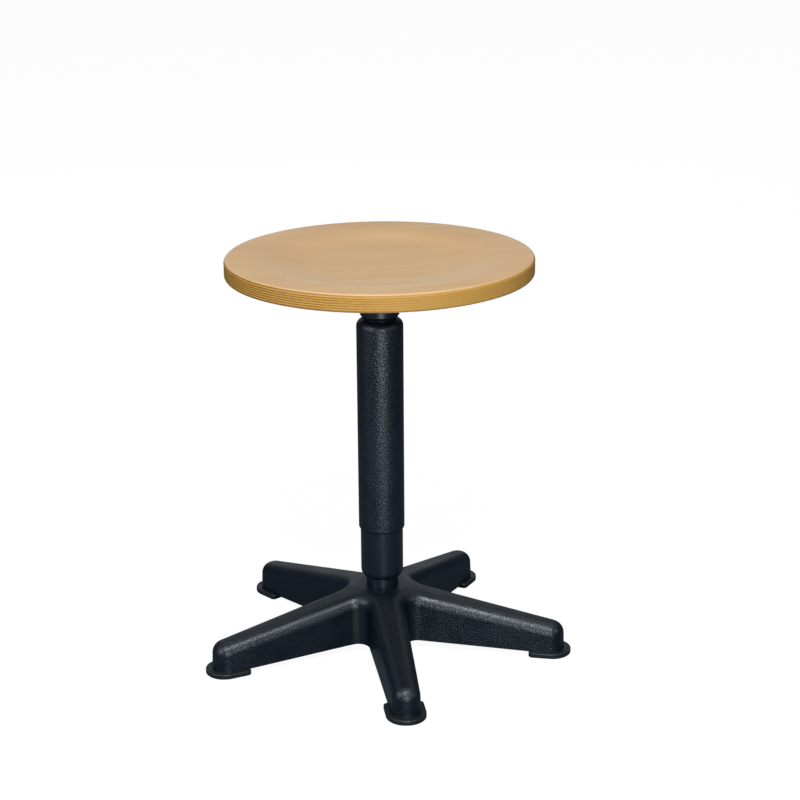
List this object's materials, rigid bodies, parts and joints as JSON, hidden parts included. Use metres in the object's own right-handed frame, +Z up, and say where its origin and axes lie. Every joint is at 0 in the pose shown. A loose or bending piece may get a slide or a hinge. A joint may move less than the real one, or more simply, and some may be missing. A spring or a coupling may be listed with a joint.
{
  "type": "adjustable swivel stool",
  "caption": "Height-adjustable swivel stool with a round dished plywood seat, a sleeved gas-lift column and a moulded star base on glides.",
  "frame": {"origin": "the column's axis at floor level, midway between the five glides", "axes": "+Z is up along the column, and one arm of the base points along -Y"},
  "size_m": [0.4328, 0.4139, 0.475],
  "materials": {
    "beech_ply": "clear satin lacquer on beech veneers, plies seen on the edge",
    "black_steel": "black powder coat",
    "black_tube": "smooth satin black paint",
    "zinc_steel": "zinc plated",
    "ground_steel": "fine ground",
    "chromed_rod": "polished hard chrome",
    "piston_metal": "turned",
    "brass_fitting": "turned",
    "grained_plastic": "moulded with a fine leather-like grain, black",
    "glide_plastic": "smooth moulded, black",
    "black_plastic": "satin moulded, black",
    "pale_nylon": "natural moulded nylon",
    "seal_rubber": "smooth",
    "buffer_rubber": "matt"
  },
  "bodies": {
    "base": {"base_star": "grained_plastic", "hub_insert": "zinc_steel", "stand_tube": "black_tube", "end_plate": "zinc_steel", "guide_bush": "pale_nylon", "bearing_lower_washer": "ground_steel", "glide_stems": "zinc_steel", "glide_front": "glide_plastic", "glide_right_front": "glide_plastic", "glide_right_rear": "glide_plastic", "glide_left_rear": "glide_plastic", "glide_left_front": "glide_plastic"},
    "rod": {"piston_rod": "chromed_rod", "piston": "piston_metal", "piston_seal": "seal_rubber", "piston_nut": "zinc_steel", "rubber_buffer": "buffer_rubber", "bearing_upper_washer": "ground_steel", "clip_washer": "zinc_steel", "rod_clip": "zinc_steel"},
    "cage": {"ball_cage": "pale_nylon", "bearing_balls": "ground_steel"},
    "seat": {"seat_board": "beech_ply", "seat_plate": "black_steel", "seat_screws": "zinc_steel", "seat_bracket": "black_steel", "cone_socket": "black_steel", "lever_pin": "zinc_steel", "lever_spacers": "pale_nylon", "pin_clips": "zinc_steel", "pressure_tube": "black_tube", "inner_tube": "ground_steel", "valve_body": "brass_fitting", "valve_seals": "seal_rubber", "rod_guide": "pale_nylon", "rod_seal": "seal_rubber", "sleeve_ring": "pale_nylon", "cover_sleeve": "grained_plastic"},
    "lever": {"release_lever": "black_steel", "lever_grip": "black_plastic"},
    "pin": {"release_pin": "ground_steel"}
  },
  "joints": [
    {"name": "swivel", "type": "hinge", "parent": "base", "child": "rod", "pos_m": [0, 0, 0.035], "axis": [0, 0, 1], "continuous": true},
    {"name": "cage_spin", "type": "hinge", "parent": "base", "child": "cage", "pos_m": [0, 0, 0.03223], "axis": [0, 0, 1], "continuous": true},
    {"name": "height", "type": "slide", "parent": "rod", "child": "seat", "axis": [0, 0, 1], "range_m": [-0.055, 0.075]},
    {"name": "lever_lift", "type": "hinge", "parent": "seat", "child": "lever", "pos_m": [0, 0.027, 0.43], "axis": [1, 0, 0], "range_deg": [0, 6.4], "stiffness_Nm_per_rad": 4, "springref_deg": -2.86},
    {"name": "pin_press", "type": "slide", "parent": "seat", "child": "pin", "axis": [0, 0, 1], "range_m": [-0.0032, 0]}
  ],
  "couplings": [
    {"joint": "cage_spin", "follows": "swivel", "ratio": 0.5},
    {"joint": "pin_press", "follows": "lever_lift", "m_per_rad": -0.027}
  ]
}
